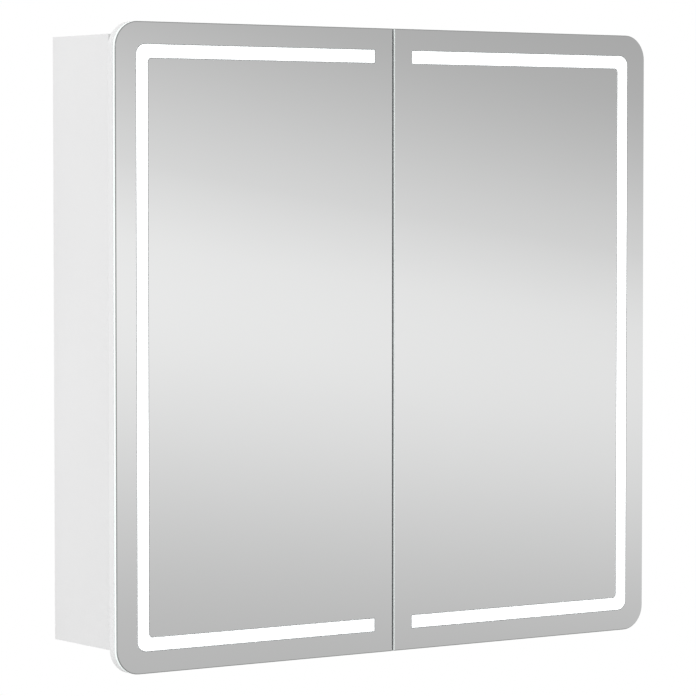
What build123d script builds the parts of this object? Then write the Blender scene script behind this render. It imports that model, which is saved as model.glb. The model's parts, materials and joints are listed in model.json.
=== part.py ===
from build123d import *
import os

# Two-door bathroom mirror cabinet with a lit band in each mirror.
# Millimetres. X runs to the right, -Y is the front, +Z is up.
# The script works from the middle of the case, with the wall plane at Y 0.
# Saved pieces have their origin on the wall plane, at the middle of the rail's screw line.

# ---- overall sizes -------------------------------------------------------
overall_width = 650.0     # both doors together
case_height = 590.0
case_depth = 105.0
side_overhang = 3.0       # door past the side panel
top_overhang = 12.0       # door past the top panel
bottom_overhang = 23.0    # door past the bottom panel: the finger pull
centre_gap = 2.0          # between the two doors
door_gap = 3.0            # between the case and the door panel

# ---- boards --------------------------------------------------------------
board = 16.0
back_thick = 3.0
back_setback = 15.0       # back panel to wall
groove_depth = 6.0
groove_clear = 0.2
back_edge_clear = 0.5

# ---- doors ---------------------------------------------------------------
glass_thick = 4.0
tape_thick = 0.6
panel_thick = 9.4
corner_radius = 25.0
edge_round = 1.2
band_side_inset = 23.3
band_end_inset = 21.6
band_width = 13.1
band_from_centre = 23.0
band_outer_radius = 10.0
band_inner_radius = 4.0
band_least_radius = 0.5
band_clear = 0.05
channel_clear = 0.6       # channel is this much wider than the band, each side
channel_depth = 6.4
diffuser_thick = 2.0
strip_width = 8.0
strip_thick = 0.6
chip_height = 1.0
chip_long = 3.5
chip_wide = 2.8
chip_pitch = 20.0
tape_width = 8.0
tape_setback = 2.0
inner_tape_width = 24.0
inner_tape_gap = 16.0     # to the rim tape and to the channel

# ---- hinges --------------------------------------------------------------
hinge_inset = 69.0        # from the end of the bay
pin_from_edge = 6.0
pin_from_back = 4.5       # behind the door panel's back face, into the door
pin_radius = 1.5
pin_half = 15.0
knuckle_radius = 2.7
knuckle_clear = 0.05
arm_thick = 2.0
arm_half = 10.0
arm_side_clear = 0.3
cup_near_edge = 3.0
cup_far_edge = 20.0
cup_depth = 8.0
cup_floor = 0.6
cup_side_wall = 1.0
cup_end_wall = 5.7
cup_fit = 0.1
flange_length = 14.0
flange_thick = 1.2
plate_thick = 1.8
plate_half = 22.0
plate_length = 36.0
plate_start = 13.0        # behind the case's front edge
plate_corner = 3.0
plate_screw_setback = 37.0
plate_screw_half = 16.0
arm_end = 48.0            # behind the case's front edge
arm_bend = 1.2
arm_slope_start = 0.5     # where the arm leaves the cup, from the door's edge line
arm_slope_end = 4.0

# ---- screws --------------------------------------------------------------
screw_radius = 1.7
screw_head_radius = 3.2
screw_head_thick = 1.4
screw_length = 12.0
cup_screw_length = 6.0
strike_screw_length = 3.6  # stops short of the light channel
screw_hole_clear = 0.15
sink_depth = 1.1
slot_width = 0.8
slot_depth = 0.7
slot_share = 1.2          # slot's length, as a share of the head's radius

# ---- shelves -------------------------------------------------------------
shelf_thick = 5.0
shelf_side_clear = 1.5
shelf_front_setback = 14.0
shelf_back_gap = 11.0
shelf_spacing = 192.0
shelf_corner = 2.0
pin_hole_radius = 2.5
pin_hole_depth = 7.0
pin_seat_radius = 3.5
pin_seat_length = 7.0
pin_seat_thick = 1.0
pin_hole_air = 0.5        # behind the peg's end
pin_row_pitch = 32.0
pin_row_front = 27.0      # behind the case's front edge
pin_row_back = 73.0
pin_rows_each_way = 1

# ---- case joinery --------------------------------------------------------
dowel_radius = 4.0
dowel_length = 24.0
dowel_into_side = 9.0
joint_front = 22.0        # behind the case's front edge
joint_back = 70.0
cam_radius = 7.5
cam_depth = 12.0
cam_slot_length = 10.0
cam_slot_width = 1.6
cam_slot_depth = 1.5
cam_from_side = 24.0
cam_bolt_radius = 2.5
cam_bolt_into_side = 10.0
cam_dowel_spacing = 18.0

# ---- catches -------------------------------------------------------------
catch_from_centre = 48.0
catch_width = 40.0
catch_height = 12.0
catch_depth = 16.0
catch_reach = 0.2         # magnet face short of the strike
magnet_width = 24.0
magnet_height = 6.0
magnet_depth = 8.0
magnet_fit = 0.1
catch_face_setback = 0.6  # plastic behind the magnet's face
catch_floor = 3.0         # under the screw heads
catch_screw_length = 10.5
catch_screw_inset = 4.5
strike_thick = 1.2
strike_width = 34.0
strike_height = 14.0
strike_corner = 2.0
strike_screw_half = 12.0
bumper_radius = 4.0
bumper_from_centre = 82.0
bumper_air = 0.1

# ---- hanging -------------------------------------------------------------
bracket_width = 60.0
bracket_height = 58.0
bracket_depth = 18.0
bracket_from_side = 4.0
bracket_from_top = 6.0
bracket_wall = 2.0
bracket_corner = 2.0
bracket_floor = 4.0       # under the screw heads
bracket_screw_inset = 7.0
bracket_screw_rise = 20.0
hook_thick = 3.0
hook_height = 26.0
hook_slot_clear = 2.0
hook_side_clear = 0.3
hook_rail_clear = 0.5
hook_wall_clear = 0.8
adjuster_radius = 3.0
adjuster_offset = 12.0
adjuster_recess = 0.5
rail_thick = 2.0
rail_stand = 6.0
rail_side_gap = 6.0
rail_lip_height = 16.0
rail_foot_height = 22.0
rail_hole_radius = 3.5
rail_hole_pitch = 128.0
rail_holes_each_way = 2
rail_lip_drop = 30.0      # below the top panel's underside

# ---- power box -----------------------------------------------------------
box_width = 140.0
box_height = 48.0
box_depth = 62.0
box_wall = 2.0
box_side_gap = 4.0
cover_thick = 3.0
cover_corner = 1.0
cover_screw_inset = 4.9
post_wall = 1.6
post_length = 14.0
socket_radius = 20.5
socket_flange_radius = 22.5
socket_flange = 1.6
socket_recess_radius = 19.0
socket_recess_depth = 14.0
socket_depth = 22.0
socket_floor = 1.0
socket_clear = 0.2
socket_pin_radius = 2.5
socket_pin_half = 9.5
socket_from_end = 30.0
switch_from_end = 26.0
switch_width = 15.0
switch_height = 21.0
switch_frame_rim = 2.0
switch_depth = 16.0
switch_rim_thick = 1.2
switch_well = 9.0
switch_pin_wall = 0.5
rocker_clear = 0.5
rocker_tilt = 8.0
rocker_front = 5.5        # from the pin to the ends of its front
rocker_back = 3.0
rocker_waist = 0.7        # front's middle, as a share of rocker_front
rocker_pin_setback = 0.7
rocker_end_clear = 1.2
rocker_inset = 3.0        # pin behind the cover's front
rocker_pin_radius = 1.2
rocker_pin_clear = 0.05
driver_size = (62.0, 30.0, 22.0)
driver_corner = 2.0
driver_from_socket = 3.0
driver_off_back = 3.0
terminal_size = (30.0, 16.0, 14.0)
terminal_off_back = 14.0
terminal_count = 3
terminal_well_radius = 2.2
terminal_well_depth = 5.0
terminal_bore_radius = 1.5
terminal_bore_drop = 8.0
inlet_radius = 4.0
inlet_wall = 2.0
inlet_flange = 2.5
inlet_flange_thick = 1.5
inlet_height = 24.0       # above the bottom panel

# ---- leads ---------------------------------------------------------------
lead_radius = 2.0
lead_off_back = 6.0       # lead's middle in front of the back panel
lead_off_side = 4.5
lead_height = 9.0         # above the bottom panel
lead_bend = 14.0
lead_up_to = 60.0         # height where it turns to the front
lead_front = 25.0         # behind the case's front edge
lead_hang = 14.0          # straight end that hangs down
lead_passage_clear = 1.5
loop_drop = 100.0         # loop's height, clip to door
loop_forward = 2.0
loop_slope = 30.0         # height over which the loop moves sideways
loop_bend = 11.0
clip_half_pitch = 80.0
grommet_wall = 1.2
grommet_flange = 1.6
grommet_flange_thick = 1.0
clip_width = 8.0
clip_wall = 1.6
clip_clear = 0.05

# ---- places worked out from the sizes ------------------------------------
half_width = overall_width / 2
case_side = half_width - side_overhang
inner_side = case_side - board
case_top = case_height / 2
inner_top = case_top - board
case_front = -case_depth
panel_back = case_front - door_gap
panel_front = panel_back - panel_thick
glass_back = panel_front - tape_thick
glass_front = glass_back - glass_thick
door_top = case_top + top_overhang
door_bottom = -case_top - bottom_overhang
door_middle = (door_top + door_bottom) / 2
door_inner = centre_gap / 2
half_board = board / 2
back_front = -back_setback - back_thick
pin_x = half_width - pin_from_edge
pin_y = panel_back - pin_from_back
cup_front = panel_back - cup_depth
cup_half = arm_half + arm_side_clear + cup_end_wall
hinge_height = inner_top - hinge_inset
hinge_levels = [door_middle - hinge_height, door_middle + hinge_height]
shelf_levels = [-shelf_spacing / 2, shelf_spacing / 2]
pin_rows = [case_front + pin_row_front, case_front + pin_row_back]
lead_y = back_front - lead_off_back
lead_x = inner_side - lead_off_side
lead_z = -inner_top + lead_height
lead_front_y = case_front + lead_front
loop_top = lead_up_to - lead_hang - lead_bend
grommet_z = loop_top - loop_drop
grommet_x = half_width - band_side_inset - band_width / 2
channel_floor = panel_front + channel_depth

os.makedirs("parts", exist_ok=True)


# ---- helpers -------------------------------------------------------------
def block(x0, x1, y0, y1, z0, z1):
    """Box between two corners."""
    size = Box(abs(x1 - x0), abs(y1 - y0), abs(z1 - z0))
    return Pos((x0 + x1) / 2, (y0 + y1) / 2, (z0 + z1) / 2) * size


def rod(radius, start, end):
    """Round bar from one point to another."""
    a, b = Vector(start), Vector(end)
    return Solid.make_cylinder(radius, (b - a).length, Plane(origin=a, z_dir=b - a))


def mirrored(shape):
    """The left-hand twin of a right-hand piece."""
    return mirror(shape, about=Plane.YZ)


def joined(pieces):
    """Separate solids kept together as one group."""
    found = []
    for piece in pieces:
        found.extend(piece.solids())
    return Compound(children=found)


def save(name, shape):
    """Write one node, its geometry moved so that the rail's screw line is at height 0."""
    moved = [solid.translate((0, 0, -rail_hole_z), transform=True) for solid in shape.solids()]
    node = moved[0] if len(moved) == 1 else Compound(children=moved)
    node.label = name
    export_step(node, f"parts/{name}.step")


def cross_slot(top, along):
    """Cut for a cross-head driver."""
    at = Plane(origin=top, z_dir=along)
    wide, thin, deep = screw_head_radius * slot_share, slot_width, slot_depth * 2
    return at * Box(wide, thin, deep) + at * Box(thin, wide, deep)


def pan_screw(seat, direction, length):
    """Round-headed screw; seat is where the head's underside rests."""
    at, along = Vector(seat), Vector(direction)
    top = at - along * screw_head_thick
    shank = rod(screw_radius, at, at + along * length)
    head = rod(screw_head_radius, top, at)
    return shank + head - cross_slot(top, along)


def sunk_head(top, direction):
    """Cone of a countersunk head whose top is flush at this point."""
    at = Plane(origin=Vector(top), z_dir=Vector(direction))
    return Solid.make_cone(screw_head_radius, screw_radius, sink_depth, at)


def sunk_screw(top, direction, length):
    """Countersunk screw; top is the middle of its flush head."""
    at, along = Vector(top), Vector(direction)
    shank = rod(screw_radius, at + along * sink_depth, at + along * length)
    return shank + sunk_head(top, direction) - cross_slot(at, along)


def sunk_hole(top, direction, depth):
    """Hole with a countersink to match."""
    at, along = Vector(top), Vector(direction)
    return sunk_head(top, direction) + rod(screw_radius, at, at + along * depth)


# ---- door shapes (right-hand door) ---------------------------------------
def door_slab(y_front, y_back, setback=0.0):
    """Door outline with its two outer corners rounded."""
    slab = block(door_inner + setback, half_width - setback, y_front, y_back,
                 door_bottom + setback, door_top - setback)
    corners = slab.edges().filter_by(Axis.Y).group_by(Axis.X)[-1]
    return fillet(corners, corner_radius - setback)


def rounded_frame(x_outer, z_low, z_high, y_front, y_back, radius):
    """Tall plate that runs past the centre line, rounded at its outer corners."""
    plate = block(-half_width / 2, x_outer, y_front, y_back, z_low, z_high)
    corners = plate.edges().filter_by(Axis.Y).group_by(Axis.X)[-1]
    return fillet(corners, radius)


def band(y_front, y_back, grow=0.0):
    """C-shaped band, open towards the other door; grow widens it on each side."""
    outer = rounded_frame(half_width - band_side_inset + grow,
                          door_bottom + band_end_inset - grow,
                          door_top - band_end_inset + grow,
                          y_front, y_back, band_outer_radius + grow)
    inner = rounded_frame(half_width - band_side_inset - band_width - grow,
                          door_bottom + band_end_inset + band_width + grow,
                          door_top - band_end_inset - band_width - grow,
                          y_front, y_back, max(band_inner_radius - grow, band_least_radius))
    keep = block(band_from_centre - grow, half_width, y_front, y_back, door_bottom, door_top)
    return (outer - inner) & keep


def middle_band(width, y_front, y_back):
    """Narrower C along the middle of the band."""
    return band(y_front, y_back, grow=(width - band_width) / 2)


def cup_pocket(level):
    """Room in the door panel for one hinge cup and its flanges."""
    pocket = block(half_width - cup_far_edge, half_width - cup_near_edge,
                   cup_front, panel_back, level - cup_half, level + cup_half)
    tabs = block(half_width - cup_far_edge, half_width - cup_near_edge,
                 panel_back - flange_thick, panel_back,
                 level - cup_half - flange_length, level + cup_half + flange_length)
    return pocket + tabs


cup_screw_x = half_width - (cup_near_edge + cup_far_edge) / 2


def cup_screw_places():
    offset = cup_half + flange_length / 2
    return [(cup_screw_x, panel_back, level + side * offset)
            for level in hinge_levels for side in (-1, 1)]


strike_z = inner_top - catch_height / 2


def strike_screw_places():
    return [(catch_from_centre + side * strike_screw_half, panel_back, strike_z)
            for side in (-1, 1)]


def door_panel():
    panel = door_slab(panel_front, panel_back)
    panel = fillet(panel.faces().sort_by(Axis.Y)[-1].edges(), edge_round)
    panel -= band(panel_front, channel_floor, grow=channel_clear)
    for level in hinge_levels:
        panel -= cup_pocket(level)
    for x, y, z in cup_screw_places():
        panel -= rod(screw_radius, (x, y, z), (x, y - cup_screw_length, z))
    for x, y, z in strike_screw_places():
        panel -= rod(screw_radius, (x, y, z), (x, y + strike_thick - strike_screw_length, z))
    panel -= rod(lead_radius + grommet_wall, (grommet_x, channel_floor, grommet_z),
                 (grommet_x, panel_back, grommet_z))
    return panel


def mirror_glass():
    return door_slab(glass_front, glass_back) - band(glass_front, glass_back, grow=band_clear)


def frosted_band():
    return band(glass_front, glass_back)


def mounting_tape():
    """Foam tape between glass and panel: a rim and an inner field, clear of the channel."""
    rim_out = door_slab(glass_back, panel_front, setback=tape_setback)
    rim_in = door_slab(glass_back, panel_front, setback=tape_setback + tape_width)
    low, high = door_middle - hinge_height, door_middle + hinge_height
    x0 = door_inner + tape_setback + tape_width + inner_tape_gap
    x1 = half_width - band_side_inset - band_width - inner_tape_gap
    strips = [block(x, x + inner_tape_width, glass_back, panel_front, low, high)
              for x in (x0, (x0 + x1) / 2, x1 - inner_tape_width)]
    return joined([rim_out - rim_in] + strips)


def diffuser():
    return band(panel_front, panel_front + diffuser_thick, grow=channel_clear - band_clear)


def led_strip():
    """Circuit strip on the channel floor with its chips."""
    strip = middle_band(strip_width, channel_floor - strip_thick, channel_floor)
    y1 = channel_floor - strip_thick
    y0 = y1 - chip_height
    z_low = door_bottom + band_end_inset + band_width / 2
    z_high = door_top - band_end_inset - band_width / 2
    chips = []
    upright = int((z_high - z_low) / 2 / chip_pitch)
    middle = (z_low + z_high) / 2
    for step in range(-upright + 1, upright):
        z = middle + step * chip_pitch
        chips.append(block(grommet_x - chip_wide / 2, grommet_x + chip_wide / 2, y0, y1,
                           z - chip_long / 2, z + chip_long / 2))
    along = int((grommet_x - band_from_centre) / chip_pitch)
    for z in (z_low, z_high):
        for step in range(1, along):
            x = grommet_x - step * chip_pitch
            chips.append(block(x - chip_long / 2, x + chip_long / 2, y0, y1,
                               z - chip_wide / 2, z + chip_wide / 2))
    return joined([strip] + chips)


def hinge_cup(level):
    """Die-cast cup let into the door: floor, inner wall, and end walls that hold the pin."""
    x0 = half_width - cup_far_edge + cup_fit
    x1 = half_width - cup_near_edge - cup_fit
    end = cup_half - cup_fit
    cup = block(x0, x1, cup_front + cup_fit, panel_back, level - end, level + end)
    hollow = arm_half + arm_side_clear
    cup -= block(x0 + cup_side_wall, half_width, cup_front + cup_fit + cup_floor, case_front,
                 level - hollow, level + hollow)
    reach = cup_half + flange_length - cup_fit
    for side in (-1, 1):
        cup += block(x0, x1, panel_back - flange_thick + cup_fit, panel_back,
                     level + side * (end - cup_side_wall), level + side * reach)
    cup -= rod(pin_radius, (pin_x, pin_y, level - pin_half), (pin_x, pin_y, level + pin_half))
    for place in cup_screw_places():
        cup -= sunk_hole(place, (0, -1, 0), flange_thick)
    return cup


def hinge_pin(level):
    return rod(pin_radius, (pin_x, pin_y, level - pin_half), (pin_x, pin_y, level + pin_half))


def arm_screw_place(level):
    return (inner_side - plate_thick - arm_thick, case_front + plate_screw_setback, level)


def hinge_arm(level):
    """Goose-neck arm: knuckle on the pin, out of the cup, round the side panel's front edge."""
    low, high = level - arm_half, level + arm_half
    leaf_x = inner_side - plate_thick - arm_thick / 2
    over_y = case_front - door_gap / 2
    line = FilletPolyline((pin_x, pin_y), (pin_x - pin_from_edge - arm_slope_start, pin_y),
                          (pin_x - pin_from_edge - arm_slope_end, over_y), (leaf_x, over_y),
                          (leaf_x, case_front + arm_end), radius=arm_bend)
    arm = Pos(0, 0, low) * extrude(trace(line, arm_thick), high - low)
    arm += rod(knuckle_radius, (pin_x, pin_y, low), (pin_x, pin_y, high))
    arm -= rod(pin_radius + knuckle_clear, (pin_x, pin_y, low), (pin_x, pin_y, high))
    return arm - sunk_hole(arm_screw_place(level), (1, 0, 0), arm_thick)


def plate_screw_places(level):
    x = inner_side - plate_thick
    y = case_front + plate_screw_setback
    return [(x, y, level + side * plate_screw_half) for side in (-1, 1)]


def hinge_plate(level):
    """Mounting plate between the arm and the side panel."""
    y0 = case_front + plate_start
    plate = block(inner_side - plate_thick, inner_side, y0, y0 + plate_length,
                  level - plate_half, level + plate_half)
    plate = fillet(plate.edges().filter_by(Axis.X), plate_corner)
    for place in plate_screw_places(level):
        plate -= sunk_hole(place, (1, 0, 0), plate_thick)
    x, y, z = arm_screw_place(level)
    return plate - rod(screw_radius, (x, y, z), (inner_side, y, z))


def strike_plate():
    """Steel plate on the door that the catch's magnet holds, with its two screws' holes."""
    plate = block(catch_from_centre - strike_width / 2, catch_from_centre + strike_width / 2,
                  panel_back, panel_back + strike_thick,
                  strike_z - strike_height / 2, strike_z + strike_height / 2)
    plate = fillet(plate.edges().filter_by(Axis.Y), strike_corner)
    for x, y, z in strike_screw_places():
        plate -= sunk_hole((x, y + strike_thick, z), (0, -1, 0), strike_thick)
    return plate


def door_screws():
    """Cup screws and strike-plate screws of one door, heads flush."""
    found = [sunk_screw(place, (0, -1, 0), cup_screw_length) for place in cup_screw_places()]
    found += [sunk_screw((x, y + strike_thick, z), (0, -1, 0), strike_screw_length)
              for x, y, z in strike_screw_places()]
    return joined(found)


def bumper_places():
    return [(bumper_from_centre, inner_top + board / 2), (bumper_from_centre, -inner_top - board / 2)]


def bumpers():
    """Clear dots that meet the case's front edges."""
    return joined(rod(bumper_radius, (x, panel_back, z), (x, case_front - bumper_air, z))
                  for x, z in bumper_places())


def lead_grommet():
    """Rubber bush where the lead enters the door's channel."""
    outer = lead_radius + grommet_wall
    bush = rod(outer, (grommet_x, channel_floor, grommet_z), (grommet_x, panel_back, grommet_z))
    bush += rod(outer + grommet_flange, (grommet_x, panel_back, grommet_z),
                (grommet_x, panel_back + grommet_flange_thick, grommet_z))
    bush -= rod(lead_radius, (grommet_x, channel_floor, grommet_z),
                (grommet_x, panel_back + grommet_flange_thick, grommet_z))
    return bush


# ---- case ----------------------------------------------------------------
def shelf_pin_holes(face_x, direction):
    """Rows of 5 mm holes round each shelf level, drilled into a face along X."""
    cut = []
    for level in shelf_levels:
        for step in range(-pin_rows_each_way, pin_rows_each_way + 1):
            z = level + step * pin_row_pitch - pin_hole_radius
            for y in pin_rows:
                cut.append(rod(pin_hole_radius, (face_x, y, z),
                               (face_x + direction * pin_hole_depth, y, z)))
    return cut


joint_rows = [case_front + joint_front, case_front + joint_back]


def joint_levels():
    """Heights of the middles of the top and bottom panels."""
    return [inner_top + board / 2, -inner_top - board / 2]


def cam_y(row):
    inward = 1 if row < case_front / 2 else -1
    return row + inward * cam_dowel_spacing


def side_panel():
    panel = block(inner_side, case_side, case_front, 0, -case_top, case_top)
    panel -= block(inner_side, inner_side + groove_depth,
                   back_front - groove_clear / 2, -back_setback + groove_clear / 2,
                   -inner_top - groove_depth, inner_top + groove_depth)
    for hole in shelf_pin_holes(inner_side, 1):
        panel -= hole
    for z in joint_levels():
        for y in joint_rows:
            panel -= rod(dowel_radius, (inner_side, y, z), (inner_side + dowel_into_side, y, z))
            panel -= rod(cam_bolt_radius, (inner_side, cam_y(y), z),
                         (inner_side + cam_bolt_into_side, cam_y(y), z))
    for level in hinge_levels:
        holes = plate_screw_places(level) + [arm_screw_place(level)]
        for x, y, z in holes:
            panel -= rod(screw_radius, (x, y, z), (x + screw_length, y, z))
    return panel


def flat_panel(sign):
    """Top (+1) or bottom (-1) panel with its grooves, dowel and cam holes."""
    z0, z1 = sorted((sign * inner_top, sign * case_top))
    panel = block(-inner_side, inner_side, case_front, 0, z0, z1)
    panel -= block(-inner_side, inner_side,
                   back_front - groove_clear / 2, -back_setback + groove_clear / 2,
                   sign * inner_top, sign * (inner_top + groove_depth))
    middle = sign * (inner_top + board / 2)
    for side in (-1, 1):
        for y in joint_rows:
            inward = -side * (dowel_length - dowel_into_side)
            panel -= rod(dowel_radius, (side * inner_side, y, middle),
                         (side * inner_side + inward, y, middle))
            cam_x = side * (inner_side - cam_from_side)
            panel -= rod(cam_bolt_radius, (side * inner_side, cam_y(y), middle),
                         (cam_x, cam_y(y), middle))
            panel -= rod(cam_radius, (cam_x, cam_y(y), sign * inner_top),
                         (cam_x, cam_y(y), sign * (inner_top + cam_depth)))
    for y in joint_rows:
        panel -= rod(dowel_radius, (0, y, sign * inner_top),
                     (0, y, sign * (inner_top + dowel_into_side)))
    return panel


def top_panel():
    panel = flat_panel(1)
    for side in (-1, 1):
        for x, y, z in catch_screw_places():
            panel -= rod(screw_radius, (side * x, y, z), (side * x, y, z + catch_screw_length))
    return panel


def bottom_panel():
    return flat_panel(-1)


def centre_divider():
    divider = block(-half_board, half_board, case_front, back_front, -inner_top, inner_top)
    for hole in shelf_pin_holes(half_board, -1) + shelf_pin_holes(-half_board, 1):
        divider -= hole
    for sign in (-1, 1):
        for y in joint_rows:
            inward = -sign * (dowel_length - dowel_into_side)
            divider -= rod(dowel_radius, (0, y, sign * inner_top),
                           (0, y, sign * inner_top + inward))
    hole = lead_radius + lead_passage_clear
    divider -= rod(hole, (-half_board, lead_y, lead_z), (half_board, lead_y, lead_z))
    return divider


def back_panel():
    reach = groove_depth - back_edge_clear
    panel = block(-inner_side - reach, inner_side + reach, back_front, -back_setback,
                  -inner_top - reach, inner_top + reach)
    panel -= rod(inlet_radius + inlet_wall, (inlet_x, back_front, inlet_z),
                 (inlet_x, -back_setback, inlet_z))
    slot = block(bracket_x - hook_thick / 2 - hook_slot_clear,
                 bracket_x + hook_thick / 2 + hook_slot_clear,
                 back_front, -back_setback,
                 hook_z - hook_height / 2 - hook_slot_clear,
                 hook_z + hook_height / 2 + hook_slot_clear)
    cut = [slot] + [rod(screw_radius, (x, back_front, z), (x, -back_setback, z))
                    for x, z in bracket_screw_places()]
    for piece in cut:
        panel = panel - piece - mirrored(piece)
    return panel


def cam_bolts():
    found = []
    for z in joint_levels():
        for y in joint_rows:
            found.append(rod(cam_bolt_radius, (inner_side + cam_bolt_into_side, cam_y(y), z),
                             (inner_side - cam_from_side + cam_radius, cam_y(y), z)))
    return joined(found + [mirrored(bolt) for bolt in found])


def cam_locks():
    """Round cam bodies pressed into the top and bottom panels, each with a screwdriver slot."""
    found = []
    x = inner_side - cam_from_side
    for sign in (-1, 1):
        face = sign * inner_top
        for row in joint_rows:
            y = cam_y(row)
            cam = rod(cam_radius, (x, y, face), (x, y, face + sign * cam_depth))
            cam -= block(x - cam_slot_length / 2, x + cam_slot_length / 2,
                         y - cam_slot_width / 2, y + cam_slot_width / 2,
                         face, face + sign * cam_slot_depth)
            cam -= rod(cam_bolt_radius, (x, y, face + sign * board / 2),
                       (inner_side, y, face + sign * board / 2))
            found.append(cam)
    return joined(found + [mirrored(cam) for cam in found])


def wood_dowels():
    found = []
    for z in joint_levels():
        for y in joint_rows:
            start = inner_side + dowel_into_side
            found.append(rod(dowel_radius, (start, y, z), (start - dowel_length, y, z)))
    found += [mirrored(dowel) for dowel in found]
    for sign in (-1, 1):
        for y in joint_rows:
            start = sign * (inner_top + dowel_into_side)
            found.append(rod(dowel_radius, (0, y, start), (0, y, start - sign * dowel_length)))
    return joined(found)


# ---- shelves -------------------------------------------------------------
def shelf(level):
    """Glass shelf of the right-hand bay."""
    plate = block(half_board + shelf_side_clear, inner_side - shelf_side_clear,
                  case_front + shelf_front_setback, back_front - shelf_back_gap,
                  level, level + shelf_thick)
    return fillet(plate.edges().filter_by(Axis.Z), shelf_corner)


def shelf_pins():
    """Spoon-shaped supports: a peg in the panel and a round seat under the glass."""
    found = []
    room = 2 * pin_seat_radius
    for level in shelf_levels:
        for y in pin_rows:
            for face, out in ((inner_side, -1), (half_board, 1)):
                z = level - pin_hole_radius
                peg = rod(pin_hole_radius, (face - out * (pin_hole_depth - pin_hole_air), y, z),
                          (face + out * pin_seat_length, y, z))
                seat = rod(pin_seat_radius, (face, y, z), (face + out * pin_seat_thick, y, z))
                above = block(face - room, face + room, y - room, y + room, level, level + room)
                found.append(peg + (seat - above))
    return joined(found + [mirrored(pin) for pin in found])


# ---- catches -------------------------------------------------------------
catch_face = panel_back + strike_thick + catch_reach


def catch_screw_places():
    y = catch_face + catch_depth - catch_screw_inset
    return [(catch_from_centre + side * (catch_width / 2 - catch_screw_inset), y,
             inner_top - catch_floor)
            for side in (-1, 1)]


def catch():
    """Plastic catch body under the top panel, open at the front for its magnet."""
    x0, x1 = catch_from_centre - catch_width / 2, catch_from_centre + catch_width / 2
    body = block(x0, x1, catch_face + catch_face_setback, catch_face + catch_depth,
                 inner_top - catch_height, inner_top)
    body -= block(catch_from_centre - magnet_width / 2 - magnet_fit,
                  catch_from_centre + magnet_width / 2 + magnet_fit,
                  catch_face, catch_face + magnet_depth + magnet_fit,
                  strike_z - magnet_height / 2 - magnet_fit,
                  strike_z + magnet_height / 2 + magnet_fit)
    for x, y, z in catch_screw_places():
        body -= rod(screw_radius + screw_hole_clear, (x, y, inner_top - catch_height),
                    (x, y, inner_top))
        body -= rod(screw_head_radius + screw_hole_clear, (x, y, inner_top - catch_height),
                    (x, y, z))
    return body


def magnet():
    return block(catch_from_centre - magnet_width / 2, catch_from_centre + magnet_width / 2,
                 catch_face, catch_face + magnet_depth,
                 strike_z - magnet_height / 2, strike_z + magnet_height / 2)


# ---- hanging -------------------------------------------------------------
bracket_x = inner_side - bracket_from_side - bracket_width / 2
bracket_top = inner_top - bracket_from_top
hook_z = bracket_top - bracket_height / 2
rail_lip_top = inner_top - rail_lip_drop
rail_lip_y = -rail_stand - rail_thick


def bracket():
    """Plastic bracket body in the top back corner, with room for its hook and adjuster."""
    x0, x1 = bracket_x - bracket_width / 2, bracket_x + bracket_width / 2
    y0, y1 = back_front - bracket_depth, back_front
    body = block(x0, x1, y0, y1, bracket_top - bracket_height, bracket_top)
    body = fillet(body.faces().sort_by(Axis.Y)[0].edges(), bracket_corner)
    body -= block(bracket_x - hook_thick / 2 - hook_side_clear,
                  bracket_x + hook_thick / 2 + hook_side_clear,
                  y0 + bracket_wall, y1, hook_z - hook_height / 2 - hook_slot_clear,
                  hook_z + hook_height / 2 + hook_slot_clear)
    for x, z in bracket_screw_places():
        body -= rod(screw_radius + screw_hole_clear, (x, y0, z), (x, y1, z))
        body -= rod(screw_head_radius + screw_hole_clear, (x, y0, z), (x, y1 - bracket_floor, z))
    body -= rod(adjuster_radius, (adjuster_x, y0, hook_z), (adjuster_x, y1 - bracket_floor, hook_z))
    return body


adjuster_x = bracket_x - adjuster_offset


def bracket_screw_places():
    return [(bracket_x + side * (bracket_width / 2 - bracket_screw_inset),
             hook_z + up * bracket_screw_rise)
            for side in (-1, 1) for up in (-1, 1)]


def hook():
    """Flat steel hook that reaches through the back and drops behind the rail's lip."""
    x0, x1 = bracket_x - hook_thick / 2, bracket_x + hook_thick / 2
    z0, z1 = hook_z - hook_height / 2, hook_z + hook_height / 2
    start = back_front - bracket_depth + bracket_wall + hook_rail_clear
    tongue = block(x0, x1, start, -hook_wall_clear, z0, z1)
    tongue -= block(x0, x1, rail_lip_y - hook_rail_clear, -rail_stand + hook_rail_clear,
                    z0, rail_lip_top)
    return tongue - block(x0, x1, rail_lip_y, 0, z0, rail_foot_top + hook_rail_clear)


def adjuster():
    """Depth screw beside the hook, with a cross slot."""
    top = Vector(adjuster_x, back_front - bracket_depth + adjuster_recess, hook_z)
    end = Vector(adjuster_x, back_front - bracket_floor, hook_z)
    return rod(adjuster_radius, top, end) - cross_slot(top, Vector(0, 1, 0))


rail_half = inner_side - rail_side_gap
rail_foot_top = rail_lip_top - rail_lip_height
rail_hole_z = rail_foot_top - rail_foot_height / 2


def wall_rail():
    """Steel rail screwed to the wall; its raised lip carries the hooks."""
    lip = block(-rail_half, rail_half, rail_lip_y, -rail_stand,
                rail_foot_top - rail_thick, rail_lip_top)
    step = block(-rail_half, rail_half, rail_lip_y, 0, rail_foot_top - rail_thick, rail_foot_top)
    foot = block(-rail_half, rail_half, -rail_thick, 0,
                 rail_foot_top - rail_foot_height, rail_foot_top)
    rail = lip + step + foot
    for step_no in range(-rail_holes_each_way, rail_holes_each_way):
        x = (step_no + 0.5) * rail_hole_pitch
        rail -= rod(rail_hole_radius, (x, -rail_thick, rail_hole_z), (x, 0, rail_hole_z))
    return rail


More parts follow.
